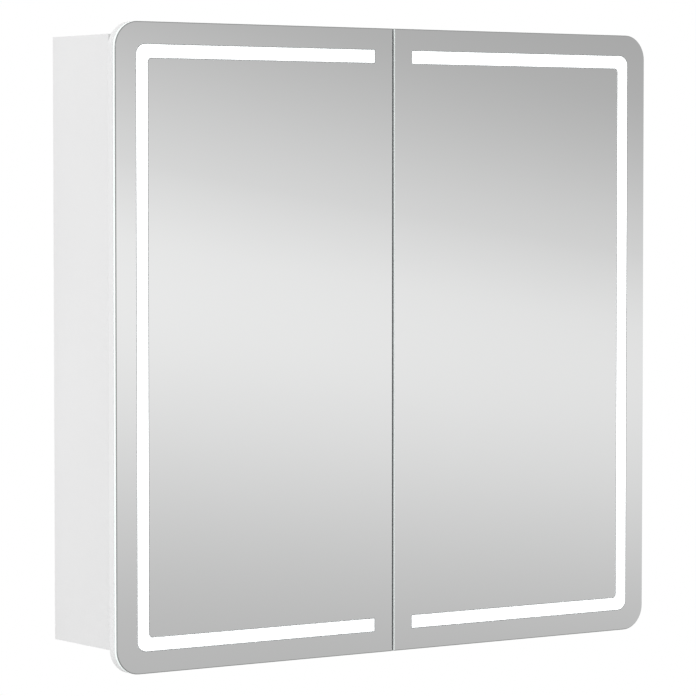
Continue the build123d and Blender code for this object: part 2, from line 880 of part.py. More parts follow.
# ---- power box (right-hand bay, on the bottom panel, beside the divider) --
box_x0 = half_board + box_side_gap
box_x1 = box_x0 + box_width
box_z0 = -inner_top
box_z1 = box_z0 + box_height
box_front = back_front - box_depth
box_mid_z = (box_z0 + box_z1) / 2
socket_x = box_x1 - socket_from_end
switch_x = box_x0 + switch_from_end
inlet_x = box_x0 + box_width / 2
inlet_z = -inner_top + inlet_height


def power_box():
    """Open-fronted tray for the mains parts."""
    shell = block(box_x0, box_x1, box_front, back_front, box_z0, box_z1)
    shell -= block(box_x0 + box_wall, box_x1 - box_wall, box_front, back_front - box_wall,
                   box_z0 + box_wall, box_z1 - box_wall)
    for x, z in cover_screw_places():
        post = rod(screw_radius + post_wall, (x, box_front, z), (x, box_front + post_length, z))
        shell += post - rod(screw_radius, (x, box_front, z), (x, box_front + screw_length, z))
    for x0, x1 in ((box_x0, box_x0 + box_wall), (box_x1 - box_wall, box_x1)):
        shell -= rod(lead_radius, (x0, lead_y, lead_z), (x1, lead_y, lead_z))
    shell -= rod(inlet_radius + inlet_wall, (inlet_x, back_front - box_wall, inlet_z),
                 (inlet_x, back_front, inlet_z))
    return shell


def cover_screw_places():
    middle = (socket_x - socket_flange_radius + switch_x + switch_width / 2) / 2
    return [(middle, box_z0 + cover_screw_inset), (middle, box_z1 - cover_screw_inset)]


def power_cover():
    """Front plate with the socket and switch openings."""
    y0 = box_front - cover_thick
    plate = block(box_x0, box_x1, y0, box_front, box_z0, box_z1)
    plate = fillet(plate.faces().sort_by(Axis.Y)[0].edges(), cover_corner)
    plate -= rod(socket_radius + socket_clear, (socket_x, y0, box_mid_z),
                 (socket_x, box_front, box_mid_z))
    half_w = switch_width / 2 + socket_clear
    half_h = switch_height / 2 + socket_clear
    plate -= block(switch_x - half_w, switch_x + half_w, y0, box_front,
                   box_mid_z - half_h, box_mid_z + half_h)
    for x, z in cover_screw_places():
        plate -= rod(screw_radius + screw_hole_clear, (x, y0, z), (x, box_front, z))
    return plate


def socket_insert():
    """Round shaver socket: flange, recess and two pin holes."""
    y0 = box_front - cover_thick
    body = rod(socket_radius, (socket_x, y0, box_mid_z), (socket_x, y0 + socket_depth, box_mid_z))
    body += rod(socket_flange_radius, (socket_x, y0 - socket_flange, box_mid_z),
                (socket_x, y0, box_mid_z))
    body -= rod(socket_recess_radius, (socket_x, y0 - socket_flange, box_mid_z),
                (socket_x, y0 + socket_recess_depth, box_mid_z))
    for side in (-1, 1):
        x = socket_x + side * socket_pin_half
        body -= rod(socket_pin_radius, (x, y0 + socket_recess_depth, box_mid_z),
                    (x, y0 + socket_depth - socket_floor, box_mid_z))
    return body


def switch_frame():
    """Snap-in switch body: rim on the cover, walls either side of the rocker."""
    y0 = box_front - cover_thick
    half_w, half_h = switch_width / 2, switch_height / 2
    body = block(switch_x - half_w, switch_x + half_w, y0, y0 + switch_depth,
                 box_mid_z - half_h, box_mid_z + half_h)
    rim = switch_frame_rim
    body += block(switch_x - half_w - rim, switch_x + half_w + rim, y0 - switch_rim_thick, y0,
                  box_mid_z - half_h - rim, box_mid_z + half_h + rim)
    body -= block(switch_x - half_w + rim, switch_x + half_w - rim,
                  y0 - switch_rim_thick, y0 + switch_well,
                  box_mid_z - half_h + rim / 2, box_mid_z + half_h - rim / 2)
    body -= rod(rocker_pin_radius + rocker_pin_clear,
                (switch_x - half_w + switch_pin_wall, rocker_axis_y, box_mid_z),
                (switch_x + half_w - switch_pin_wall, rocker_axis_y, box_mid_z))
    return body


rocker_axis_y = box_front - cover_thick + rocker_inset


def switch_rocker():
    """Rocker with a shallow V front, tilted to its off side, on two stub pins."""
    half_w = switch_width / 2 - switch_frame_rim - rocker_clear
    half_h = switch_height / 2 - switch_frame_rim / 2 - rocker_end_clear
    side = Polyline((-rocker_front, -half_h), (-rocker_front * rocker_waist, 0), (-rocker_front, half_h),
                    (0, half_h), (rocker_back, half_h / 2), (rocker_back, -half_h / 2),
                    (0, -half_h), close=True)
    body = extrude(Plane.YZ * make_face(side), half_w, both=True)
    reach = switch_width / 2 - rocker_pin_setback
    body += rod(rocker_pin_radius, (-reach, 0, 0), (reach, 0, 0))
    return Pos(switch_x, rocker_axis_y, box_mid_z) * Rot(-rocker_tilt, 0, 0) * body


def led_driver():
    """Sealed supply block at the back of the box, over the lead runs."""
    long, deep, high = driver_size
    x0 = socket_x - socket_radius - driver_from_socket - long
    y1 = back_front - box_wall - driver_off_back
    body = block(x0, x0 + long, y1 - deep, y1, box_z1 - box_wall - high, box_z1 - box_wall)
    return fillet(body.edges().filter_by(Axis.Y), driver_corner)


def terminal_block():
    """Screw terminals on the box floor."""
    long, deep, high = terminal_size
    x0 = box_x0 + box_width / 2 - long / 2
    y1 = back_front - box_wall - terminal_off_back
    body = block(x0, x0 + long, y1 - deep, y1, box_z0 + box_wall, box_z0 + box_wall + high)
    top = box_z0 + box_wall + high
    bore_z = top - terminal_bore_drop
    for step in range(terminal_count):
        x = x0 + (step + 0.5) * long / terminal_count
        body -= rod(terminal_well_radius, (x, y1 - deep / 2, top),
                    (x, y1 - deep / 2, top - terminal_well_depth))
        body -= rod(terminal_bore_radius, (x, y1 - deep, bore_z), (x, y1, bore_z))
    return body


def inlet_grommet():
    """Rubber bush through the back panel and the box's back wall."""
    start = back_front - box_wall
    end = -back_setback
    bush = rod(inlet_radius + inlet_wall, (inlet_x, start, inlet_z), (inlet_x, end, inlet_z))
    for y0, y1 in ((start - inlet_flange_thick, start), (end, end + inlet_flange_thick)):
        bush += rod(inlet_radius + inlet_wall + inlet_flange, (inlet_x, y0, inlet_z),
                    (inlet_x, y1, inlet_z))
    return bush - rod(inlet_radius, (inlet_x, start - inlet_flange_thick, inlet_z),
                      (inlet_x, end + inlet_flange_thick, inlet_z))


# ---- leads ---------------------------------------------------------------
def tube(points, radius, bends):
    """Round lead along straight runs joined by arcs."""
    line = FilletPolyline(*points, radius=bends)
    start = Plane(origin=line @ 0, z_dir=line % 0)
    return sweep(start * Circle(radius), path=line)


def lead_route(start_x):
    """From the power box along the bottom, up the back corner, forward, then down."""
    return [(start_x, lead_y, lead_z), (lead_x, lead_y, lead_z), (lead_x, lead_y, lead_up_to),
            (lead_x, lead_front_y, lead_up_to), (lead_x, lead_front_y, loop_top)]


def door_leads():
    right = tube(lead_route(box_x1 - box_wall), lead_radius, lead_bend)
    left = mirrored(tube(lead_route(-box_x0 - box_wall), lead_radius, lead_bend))
    return joined([right, left])


def lead_loop():
    """Loose loop from the last clip to the door's grommet."""
    low = (grommet_x, lead_front_y - loop_forward, grommet_z)
    points = [(lead_x, lead_front_y, loop_top), (lead_x, lead_front_y, grommet_z + loop_slope),
              low, (grommet_x, channel_floor, grommet_z)]
    return tube(points, lead_radius, loop_bend)


def clip_places():
    """(middle, direction of the lead) for each clip of the right-hand lead."""
    half_rise = (lead_up_to + lead_z) / 2
    return [((lead_x, lead_y, half_rise - clip_half_pitch), "z"),
            ((lead_x, lead_y, half_rise + clip_half_pitch), "z"),
            ((lead_x, (lead_y + lead_front_y) / 2, lead_up_to), "y"),
            ((lead_x, lead_front_y, loop_top + clip_width / 2), "z")]


def clip(place, along):
    """Stick-on saddle round the lead, on the side panel."""
    x, y, z = place
    size = lead_radius + clip_wall
    half = clip_width / 2
    dy, dz = (half, size) if along == "y" else (size, half)
    body = block(x - size, inner_side, y - dy, y + dy, z - dz, z + dz)
    vector = (0, half, 0) if along == "y" else (0, 0, half)
    start = Vector(place) - Vector(vector)
    end = Vector(place) + Vector(vector)
    return body - rod(lead_radius + clip_clear, start, end)


def cable_clips():
    found = [clip(place, along) for place, along in clip_places()]
    return joined(found + [mirrored(piece) for piece in found])


# ---- fasteners of the case -----------------------------------------------
def hinge_screws():
    """Plate screws and arm screws of all four hinges."""
    found = []
    for level in hinge_levels:
        for place in plate_screw_places(level) + [arm_screw_place(level)]:
            found.append(sunk_screw(place, (1, 0, 0), screw_length))
    return joined(found + [mirrored(piece) for piece in found])


def case_screws():
    """Screws of the catches, the wall brackets and the power box's cover."""
    found = [pan_screw(place, (0, 0, 1), catch_screw_length) for place in catch_screw_places()]
    y = back_front - bracket_floor
    found += [pan_screw((x, y, z), (0, 1, 0), bracket_floor + back_thick)
              for x, z in bracket_screw_places()]
    y = box_front - cover_thick
    cover = [pan_screw((x, y, z), (0, 1, 0), screw_length) for x, z in cover_screw_places()]
    return joined(found + [mirrored(piece) for piece in found] + cover)


# ---- write every node ----------------------------------------------------
save("right_side_panel", side_panel())
save("left_side_panel", mirrored(side_panel()))
save("top_panel", top_panel())
save("bottom_panel", bottom_panel())
save("centre_divider", centre_divider())
save("back_panel", back_panel())
save("cam_bolts", cam_bolts())
save("cam_locks", cam_locks())
save("wood_dowels", wood_dowels())
save("shelf_pins", shelf_pins())
for place, level in zip(("lower", "upper"), shelf_levels):
    save(f"right_{place}_shelf", shelf(level))
    save(f"left_{place}_shelf", mirrored(shelf(level)))

hinge_arms = joined(hinge_arm(level) for level in hinge_levels)
hinge_plates = [hinge_plate(level) for level in hinge_levels]
save("hinge_arms", joined([hinge_arms, mirrored(hinge_arms)]))
save("hinge_plates", joined(hinge_plates + [mirrored(plate) for plate in hinge_plates]))
save("hinge_screws", hinge_screws())
save("catches", joined([catch(), mirrored(catch())]))
save("catch_magnets", joined([magnet(), mirrored(magnet())]))
save("wall_brackets", joined([bracket(), mirrored(bracket())]))
save("bracket_hooks", joined([hook(), mirrored(hook())]))
save("bracket_adjusters", joined([adjuster(), mirrored(adjuster())]))
save("case_screws", case_screws())
save("wall_rail", wall_rail())

save("power_box", power_box())
save("power_cover", power_cover())
save("socket_insert", socket_insert())
save("switch_frame", switch_frame())
save("switch_rocker", switch_rocker())
save("led_driver", led_driver())
save("terminal_block", terminal_block())
save("inlet_grommet", inlet_grommet())
save("door_leads", door_leads())
save("cable_clips", cable_clips())

door_pieces = {
    "mirror_glass": mirror_glass(),
    "frosted_band": frosted_band(),
    "mounting_tape": mounting_tape(),
    "door_panel": door_panel(),
    "diffuser": diffuser(),
    "led_strip": led_strip(),
    "hinge_cups": joined(hinge_cup(level) for level in hinge_levels),
    "hinge_pins": joined(hinge_pin(level) for level in hinge_levels),
    "strike_plate": strike_plate(),
    "door_screws": door_screws(),
    "bumpers": bumpers(),
    "lead_grommet": lead_grommet(),
    "lead_loop": lead_loop(),
}
for name, piece in door_pieces.items():
    save(f"right_{name}", piece)
    save(f"left_{name}", mirrored(piece))
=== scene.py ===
import json
import math

import bpy
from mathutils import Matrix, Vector

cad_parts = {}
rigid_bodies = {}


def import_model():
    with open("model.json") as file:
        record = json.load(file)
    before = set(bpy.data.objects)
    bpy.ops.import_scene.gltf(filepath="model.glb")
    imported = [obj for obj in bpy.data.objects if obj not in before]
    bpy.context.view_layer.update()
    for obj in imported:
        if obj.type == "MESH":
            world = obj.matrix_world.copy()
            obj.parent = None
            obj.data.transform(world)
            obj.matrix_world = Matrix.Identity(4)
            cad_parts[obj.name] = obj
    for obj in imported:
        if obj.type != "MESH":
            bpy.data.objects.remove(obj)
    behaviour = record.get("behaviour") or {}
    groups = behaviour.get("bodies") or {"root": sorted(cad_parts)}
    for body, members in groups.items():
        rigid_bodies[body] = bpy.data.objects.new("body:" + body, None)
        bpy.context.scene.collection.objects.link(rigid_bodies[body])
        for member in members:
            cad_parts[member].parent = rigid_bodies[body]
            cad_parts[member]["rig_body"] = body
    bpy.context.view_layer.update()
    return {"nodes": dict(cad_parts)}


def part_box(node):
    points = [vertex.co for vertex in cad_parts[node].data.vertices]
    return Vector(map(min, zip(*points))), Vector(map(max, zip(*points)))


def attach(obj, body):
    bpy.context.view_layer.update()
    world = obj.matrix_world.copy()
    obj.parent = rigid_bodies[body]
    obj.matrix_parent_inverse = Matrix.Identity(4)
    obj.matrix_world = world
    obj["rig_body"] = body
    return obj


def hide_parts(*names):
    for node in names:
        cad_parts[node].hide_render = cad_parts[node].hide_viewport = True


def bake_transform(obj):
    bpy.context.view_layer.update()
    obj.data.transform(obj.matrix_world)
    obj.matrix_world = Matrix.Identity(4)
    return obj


bl_info = {
    "name": "Mirror cabinet",
    "version": (1, 0, 0),
    "blender": (4, 5, 0),
    "location": "3D View > Sidebar > Cabinet",
    "description": "Finishes a lit two-door mirror cabinet around its packed frame",
    "category": "Object",
}

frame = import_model()
SIDES = ("left", "right")

CAMERA_PLACE = (-2.0923, -3.0304, -0.0671)
CAMERA_DIP = 2.675        # degrees below level
CAMERA_TURN = 35.004      # degrees to the right of square to the wall
SENSOR_WIDTH = 36.0
CLIP_END = 60.0

# The studio's brightness by level: the height of a direction, plus the tilt of the light.
STUDIO_TURN = 35.0        # degrees
STUDIO_LEVELS = (
    (-0.40, 0.70),
    (-0.22, 0.56),
    (-0.160, 0.460),
    (-0.129, 0.508),
    (-0.107, 0.592),
    (-0.084, 0.710),
    (-0.062, 0.812),
    (-0.045, 0.850),
    (-0.028, 0.840),
    (-0.017, 0.775),
    (-0.006, 0.712),
    (0.0165, 0.585),
    (0.039, 0.472),
    (0.075, 0.40),
    (0.16, 0.56),
    (0.28, 0.74),
    (0.40, 0.76),
)

RIM = 0.012               # a mirror's outer edge lies within this of its outline
SEAM = 0.004              # the edges that meet lie within this of the middle
SAME_PLACE = 0.00002
MERGE_REACH = 0.000002
FLAT_ANGLE = 0.3          # degrees between faces that are dissolved into one
FRONT_FACING = -0.99      # the Y of a front face's normal is below this
SLANTED = -0.3            # and that of a slanted face lies between the two

WHITE = (1.0, 1.0, 1.0, 1.0)


# ---------------------------------------------------------------- sizes and colours


def length(name, description, default):
    """A length property in metres."""
    return bpy.props.FloatProperty(
        name=name,
        description=description,
        default=default,
        min=0.0,
        unit="LENGTH",
        precision=5,
    )


def colour(name, description, default):
    """A colour property."""
    return bpy.props.FloatVectorProperty(
        name=name,
        description=description,
        default=default,
        size=3,
        min=0.0,
        max=1.0,
        subtype="COLOR",
    )


class CabinetSizes(bpy.types.PropertyGroup):
    arris: length("Arris", "Width of the ground arris round each mirror", 0.0009)
    seam_arris: length("Seam arris", "Width of the arris where the two mirrors meet", 0.0008)
    etched_line: length("Etched line", "Half the width of the dark line round each band", 0.0004)
    board_round: length("Board edge", "Rounding of the lacquered board edges", 0.0005)
    back_round: length("Back board edge", "Rounding of the hardboard back's edges", 0.0002)
    door_round: length("Door edge", "Rounding of the door panel's sharp edges", 0.0004)
    shelf_round: length("Shelf edge", "Polished rounding of the glass shelves", 0.0007)
    plastic_round: length("Plastic edge", "Rounding of the moulded plastic edges", 0.0005)
    catch_round: length("Catch edge", "Rounding of the catch housings", 0.0006)
    rocker_round: length("Rocker edge", "Rounding of the switch rocker", 0.0004)
    metal_round: length("Metal edge", "Rounding of the pressed metal edges", 0.0002)
    lead_radius: length("Lead radius", "Radius of the leads to the doors", 0.0020)
    floor_drop: length("Floor drop", "Height of the wall rail's screws above the floor", 1.6)
    floor_radius: length("Floor radius", "Radius of the pale floor", 6.5)
    lens: bpy.props.FloatProperty(
        name="Lens",
        description="Focal length of the camera in millimetres",
        default=184.89,
        min=1.0,
    )


class CabinetColours(bpy.types.PropertyGroup):
    lacquer: colour("Lacquer", "White lacquer of the boards", (0.86, 0.86, 0.862))
    backing: colour("Back board", "White face of the hardboard back", (0.83, 0.83, 0.82))
    silver: colour("Silvering", "Reflection of the mirror", (0.93, 0.934, 0.932))
    glass: colour("Glass", "Tint of the glass shelves", (0.90, 0.965, 0.945))
    nickel: colour("Nickel", "Satin nickel of the hinges", (0.66, 0.65, 0.63))
    zinc: colour("Zinc", "Bright zinc of the screws and plates", (0.60, 0.61, 0.63))
    cast: colour("Cast zinc", "Cast zinc of the cam locks", (0.40, 0.40, 0.41))
    beech: colour("Beech", "Raw beech of the dowels", (0.56, 0.37, 0.20))
    plastic: colour("Plastic", "White of the moulded fittings", (0.80, 0.80, 0.79))
    rubber: colour("Rubber", "Grey of the grommets", (0.11, 0.11, 0.115))
    floor: colour("Floor", "Pale floor", (0.66, 0.66, 0.66))


def sizes():
    return bpy.context.scene.cabinet_sizes


def colours():
    return bpy.context.scene.cabinet_colours


# ---------------------------------------------------------------- finishes


class Nodes:
    """A node tree under construction."""

    def __init__(self, tree):
        self.tree = tree

    def add(self, kind, **values):
        """A node of that kind, with its settings made and its inputs set or linked by name."""
        node = self.tree.nodes.new(kind)
        for key, value in values.items():
            if hasattr(node, key):
                setattr(node, key, value)
            else:
                self.put(node.inputs[key.replace("_", " ").title()], value)
        return node

    def put(self, socket, value):
        """Links a socket into that input, or sets the input to a value."""
        if isinstance(value, bpy.types.NodeSocket):
            self.tree.links.new(value, socket)
        else:
            socket.default_value = value

    def between(self, fac, low, high, start=0.3, end=0.7):
        """A number that goes from low to high as fac goes from start to end."""
        node = self.add("ShaderNodeMapRange", Value=fac)
        for name, value in (
            ("From Min", start),
            ("From Max", end),
            ("To Min", low),
            ("To Max", high),
        ):
            node.inputs[name].default_value = value
        return node.outputs["Result"]

    def math(self, operation, first, second):
        node = self.add("ShaderNodeMath", operation=operation)
        self.put(node.inputs[0], first)
        self.put(node.inputs[1], second)
        return node.outputs[0]


class Finish(Nodes):
    """A material under construction, with a Principled shader and object coordinates."""

    def __init__(self, name):
        self.material = bpy.data.materials.new(name)
        self.material.use_nodes = True
        super().__init__(self.material.node_tree)
        self.shader = self.tree.nodes["Principled BSDF"]
        self.place = self.tree.nodes.new("ShaderNodeTexCoord").outputs["Object"]

    def stretch(self, scale):
        """Object coordinates, scaled along each axis."""
        return self.add("ShaderNodeMapping", Vector=self.place, Scale=scale).outputs["Vector"]

    def noise(self, scale, detail=4.0, roughness=0.55, vector=None):
        return self.add(
            "ShaderNodeTexNoise",
            Vector=vector or self.place,
            Scale=scale,
            Detail=detail,
            Roughness=roughness,
        ).outputs["Fac"]

    def streaks(self, scale, detail=3.0, roughness=0.6):
        """Noise drawn out along the axes of the smaller scales."""
        return self.noise(1.0, detail, roughness, self.stretch(scale))

    def cells(self, scale, vector=None):
        return self.add(
            "ShaderNodeTexVoronoi", Vector=vector or self.place, Scale=scale
        ).outputs["Distance"]

    def mix(self, fac, dark, light):
        """The dark colour where fac is 0, and the light one where it is 1."""
        node = self.tree.nodes.new("ShaderNodeMix")
        node.data_type = "RGBA"
        factor, first, second = node.inputs[0], node.inputs[6], node.inputs[7]
        self.put(factor, fac)
        self.put(first, dark)
        self.put(second, light)
        return node.outputs[2]

    def drift(self, fac, dark, light):
        """A colour that drifts with the middle of fac's range."""
        return self.mix(self.between(fac, 0.0, 1.0), dark, light)

    def further_back(self, edge, fade):
        """0 in front of that Y, and 1 behind it."""
        split = self.add("ShaderNodeSeparateXYZ", Vector=self.place)
        return self.between(split.outputs["Y"], 0.0, 1.0, edge, edge + fade)

    def relief(self, height, strength, distance):
        """Bumps on the shader's normal."""
        node = self.add("ShaderNodeBump", Height=height, Strength=strength, Distance=distance)
        self.put(self.shader.inputs["Normal"], node.outputs["Normal"])

    def set(self, **values):
        for key, value in values.items():
            self.put(self.shader.inputs[key.replace("_", " ")], value)
        return self


def tint(red, green, blue):
    """A four-part colour."""
    return (red, green, blue, 1.0)


def shade(tone, factor):
    """A four-part colour, scaled."""
    return tint(*scaled(tone, factor))


def scaled(tone, factor):
    return tuple(min(1.0, part * factor) for part in tone)


def coated(name, tone, grain, roughness, strength, drift, **values):
    """A painted or moulded surface: slow colour drift, fine grain and uneven gloss."""
    finish = Finish(name)
    slow = finish.noise(scale=6.0, detail=3.0)
    fine = finish.noise(grain, detail=3.0, roughness=0.6)
    finish.relief(fine, strength, distance=0.0002)
    return finish.set(
        Base_Color=finish.drift(slow, shade(tone, drift), shade(tone, 1.0)),
        Roughness=finish.between(fine, *roughness),
        **values,
    )


def metal(name, tone, roughness, stretch, strength=0.05, drift=0.95):
    """Plated or brushed metal with fine drawn lines and small stains."""
    finish = Finish(name)
    lines = finish.streaks(stretch)
    stain = finish.noise(scale=35.0, detail=3.0)
    finish.relief(lines, strength, distance=0.00003)
    return finish.set(
        Metallic=1.0,
        Base_Color=finish.drift(stain, shade(tone, drift), shade(tone, 1.0)),
        Roughness=finish.between(lines, *roughness),
    )


def make_silvering():
    """Silvering with a very faint veil."""
    finish = Finish("silvering")
    tone = colours().silver
    veil = finish.noise(scale=9.0, detail=2.0)
    return finish.set(
        Metallic=1.0,
        Base_Color=finish.drift(veil, shade(tone, 0.996), shade(tone, 1.0)),
        Roughness=finish.between(veil, 0.0, 0.004),
    ).material


def make_arris():
    """The ground and polished 45 degree edge of the mirror."""
    finish = Finish("ground_arris")
    drawn = finish.streaks((900.0, 900.0, 900.0))
    finish.relief(drawn, strength=0.03, distance=0.00005)
    return finish.set(
        Metallic=1.0,
        Base_Color=finish.drift(drawn, tint(0.37, 0.38, 0.375), tint(0.42, 0.43, 0.425)),
        Roughness=finish.between(drawn, 0.12, 0.2),
    ).material


def make_painted_seam_shade():
    """The mirror's edges along the seam: pale glass in front, and behind it a grey painted shade
    that darkens the gap between the doors.
    """
    finish = Finish("painted_seam_shade")
    brushed = finish.streaks((900.0, 900.0, 120.0), detail=4.0)
    # grey painted shade for the gap between the doors; the strip in front stays pale
    grey = finish.drift(brushed, tint(0.34, 0.345, 0.35), tint(0.40, 0.405, 0.41))
    mirror_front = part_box("left_mirror_glass")[0].y
    unshaded_depth, shade_fade = 0.0009, 0.0003
    seam_shading = finish.further_back(mirror_front + unshaded_depth, shade_fade)
    finish.relief(brushed, strength=0.1, distance=0.0001)
    return finish.set(
        Base_Color=finish.mix(seam_shading, tint(0.86, 0.90, 0.89), grey),
        Roughness=finish.between(brushed, 0.4, 0.6),
    ).material


def make_etched_line():
    """The cut edge of the silvering round the frosted band."""
    finish = Finish("etched_line")
    ragged = finish.noise(scale=1200.0, detail=4.0, roughness=0.6)
    finish.relief(ragged, strength=0.15, distance=0.0001)
    return finish.set(
        Base_Color=finish.drift(ragged, tint(0.25, 0.255, 0.26), tint(0.29, 0.295, 0.30)),
        Roughness=finish.between(ragged, 0.35, 0.6),
    ).material


def make_glass_edge():
    """The mirror's edge, with a painted glow that stands for the band's light carried through the
    glass.
    """
    finish = Finish("glass_edge")
    drawn = finish.streaks((500.0, 500.0, 500.0))
    glow = finish.drift(drawn, tint(0.86, 0.93, 0.91), tint(0.93, 0.98, 0.97))
    return finish.set(
        Base_Color=glow,
        Roughness=finish.between(drawn, 0.12, 0.25),
        # painted glow: the edge emits light though it is no lamp
        Emission_Color=glow,
        Emission_Strength=0.22,
    ).material


def make_band():
    """Sandblasted glass with the light behind it."""
    finish = Finish("lit_frosting")
    blast = finish.noise(scale=2500.0, detail=2.0, roughness=0.7)
    slow = finish.noise(scale=14.0, detail=2.0)
    finish.relief(blast, strength=0.15, distance=0.0001)
    return finish.set(
        Base_Color=tint(0.9, 0.91, 0.92),
        Roughness=finish.between(blast, 0.5, 0.7),
        Emission_Color=finish.drift(slow, tint(0.985, 0.99, 1.0), WHITE),
        Emission_Strength=1.05,
    ).material


def make_lacquer():
    """Lacquered board, with the edging strip along its front edge a shade apart."""
    tone = colours().lacquer
    finish = coated(
        "lacquer", tone, grain=700.0, roughness=(0.34, 0.44), strength=0.06, drift=0.985
    )
    plain_board = finish.shader.inputs["Base Color"].links[0].from_socket
    case_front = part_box("left_side_panel")[0].y
    edging, joint = 0.0010, 0.0001
    board = finish.further_back(case_front + edging, joint)
    return finish.set(Base_Color=finish.mix(board, shade(tone, 0.955), plain_board)).material


def make_door_lacquer():
    return coated(
        "door_lacquer",
        scaled(colours().lacquer, 1.02),
        grain=700.0,
        roughness=(0.3, 0.4),
        strength=0.06,
        drift=0.985,
    ).material


def make_backing():
    """White face of hardboard: a fine pressed texture under a thin film."""
    finish = Finish("back_board")
    tone = colours().backing
    slow = finish.noise(scale=5.0, detail=3.0)
    press = finish.cells(scale=420.0)
    fleck = finish.noise(scale=240.0, detail=5.0, roughness=0.65)
    finish.relief(finish.math("ADD", press, fleck), strength=0.12, distance=0.0003)
    return finish.set(
        Base_Color=finish.drift(slow, shade(tone, 0.965), shade(tone, 1.0)),
        Roughness=finish.between(fleck, 0.48, 0.62),
    ).material


def make_shelf_glass():
    """Clear float glass with a very slight wave."""
    finish = Finish("shelf_glass")
    tone = colours().glass
    wave = finish.noise(scale=3.0, detail=1.0)
    wiped = finish.noise(scale=40.0, detail=3.0)
    return finish.set(
        Base_Color=finish.drift(wave, shade(tone, 0.985), shade(tone, 1.0)),
        Roughness=finish.between(wiped, 0.0, 0.02),
        Transmission_Weight=1.0,
        IOR=1.5,
    ).material


def make_shelf_edge():
    """Polished edge of the shelves, where the glass shows green."""
    finish = Finish("shelf_edge")
    drawn = finish.streaks((40.0, 900.0, 900.0))
    return finish.set(
        Base_Color=finish.drift(drawn, tint(0.48, 0.72, 0.65), tint(0.60, 0.81, 0.75)),
        Roughness=finish.between(drawn, 0.08, 0.18),
        Transmission_Weight=0.35,
        IOR=1.5,
    ).material


def make_foam():
    """Open-celled foam of the mounting tape."""
    finish = Finish("foam_tape")
    cell = finish.cells(scale=1500.0)
    wall = finish.between(cell, 0.0, 1.0, start=0.0, end=0.8)
    finish.relief(cell, strength=0.3, distance=0.0002)
    return finish.set(
        Base_Color=finish.mix(wall, tint(0.55, 0.55, 0.55), tint(0.72, 0.72, 0.72)),
        Roughness=finish.between(cell, 0.8, 0.95),
    ).material


def make_opal():
    return coated(
        "opal_diffuser",
        (0.9, 0.9, 0.89),
        grain=1200.0,
        roughness=(0.4, 0.5),
        strength=0.05,
        drift=0.98,
        Subsurface_Weight=0.3,
    ).material


def make_circuit():
    """White circuit strip with a faint weave and yellow lamps along it."""
    finish = Finish("circuit_strip")
    weave = finish.add(
        "ShaderNodeTexWave", Vector=finish.place, Scale=700.0, Distortion=0.5
    ).outputs["Fac"]
    lamp = finish.between(finish.cells(scale=120.0), 1.0, 0.0, start=0.10, end=0.22)
    board = finish.mix(weave, tint(0.76, 0.76, 0.72), tint(0.84, 0.84, 0.81))
    finish.relief(weave, strength=0.06, distance=0.0001)
    return finish.set(
        Base_Color=finish.mix(lamp, board, tint(0.85, 0.66, 0.2)),
        Roughness=finish.between(weave, 0.35, 0.5, start=0.0, end=1.0),
    ).material


def make_nickel():
    return metal(
        "satin_nickel", colours().nickel, roughness=(0.2, 0.28), stretch=(300.0, 300.0, 2400.0)
    ).material


def make_zinc():
    return metal(
        "bright_zinc",
        colours().zinc,
        roughness=(0.24, 0.34),
        stretch=(1500.0, 600.0, 1500.0),
        strength=0.08,
        drift=0.92,
    ).material


def make_cast_zinc():
    """As-cast zinc, dull and slightly pitted."""
    finish = Finish("cast_zinc")
    tone = colours().cast
    cloud = finish.noise(scale=160.0, detail=5.0)
    finish.relief(finish.cells(scale=1400.0), strength=0.25, distance=0.0002)
    return finish.set(
        Metallic=1.0,
        Base_Color=finish.drift(cloud, shade(tone, 0.75), shade(tone, 1.1)),
        Roughness=finish.between(cloud, 0.42, 0.6),
    ).material


def make_galvanised():
    """Galvanised sheet with its pale crystal flakes."""
    finish = Finish("galvanised_sheet")
    flake = finish.add("ShaderNodeTexVoronoi", Vector=finish.place, Scale=170.0)
    sheen = finish.between(flake.outputs["Color"], 0.0, 1.0, start=0.1, end=0.9)
    skin = finish.noise(scale=500.0, detail=3.0)
    finish.relief(skin, strength=0.06, distance=0.0001)
    return finish.set(
        Metallic=1.0,
        Base_Color=finish.mix(sheen, tint(0.55, 0.56, 0.575), tint(0.70, 0.71, 0.72)),
        Roughness=finish.between(sheen, 0.3, 0.46, start=0.0, end=1.0),
    ).material


def make_magnet():
    return metal(
        "ground_magnet",
        (0.30, 0.30, 0.31),
        roughness=(0.34, 0.5),
        stretch=(80.0, 900.0, 900.0),
        strength=0.12,
        drift=0.8,
    ).material


def make_beech():
    """Raw beech: long grain with short dark flecks."""
    finish = Finish("raw_beech")
    tone = colours().beech
    grain = finish.streaks((60.0, 700.0, 700.0), detail=6.0)
    fleck = finish.cells(scale=1.0, vector=finish.stretch((180.0, 900.0, 900.0)))
    fleck_share = finish.between(fleck, 0.5, 0.0, start=0.0, end=0.25)
    wood = finish.drift(grain, shade(tone, 0.78), shade(tone, 1.08))
    finish.relief(grain, strength=0.2, distance=0.0002)
    return finish.set(
        Base_Color=finish.mix(fleck_share, wood, shade(tone, 0.5)),
        Roughness=finish.between(grain, 0.5, 0.68),
    ).material


def make_plastic():
    """Spark-eroded grain on white moulded plastic."""
    return coated(
        "grained_plastic",
        colours().plastic,
        grain=2200.0,
        roughness=(0.42, 0.56),
        strength=0.22,
        drift=0.97,
    ).material


def make_gloss_plastic():
    return coated(
        "gloss_plastic",
        scaled(colours().plastic, 1.06),
        grain=300.0,
        roughness=(0.12, 0.2),
        strength=0.02,
        drift=0.98,
        Coat_Weight=0.3,
    ).material


def make_driver_case():
    return coated(
        "driver_case",
        (0.74, 0.74, 0.73),
        grain=1800.0,
        roughness=(0.5, 0.62),
        strength=0.25,
        drift=0.96,
    ).material


def make_nylon():
    return coated(
        "natural_nylon",
        (0.72, 0.71, 0.67),
        grain=900.0,
        roughness=(0.36, 0.5),
        strength=0.1,
        drift=0.95,
        Subsurface_Weight=0.2,
    ).material


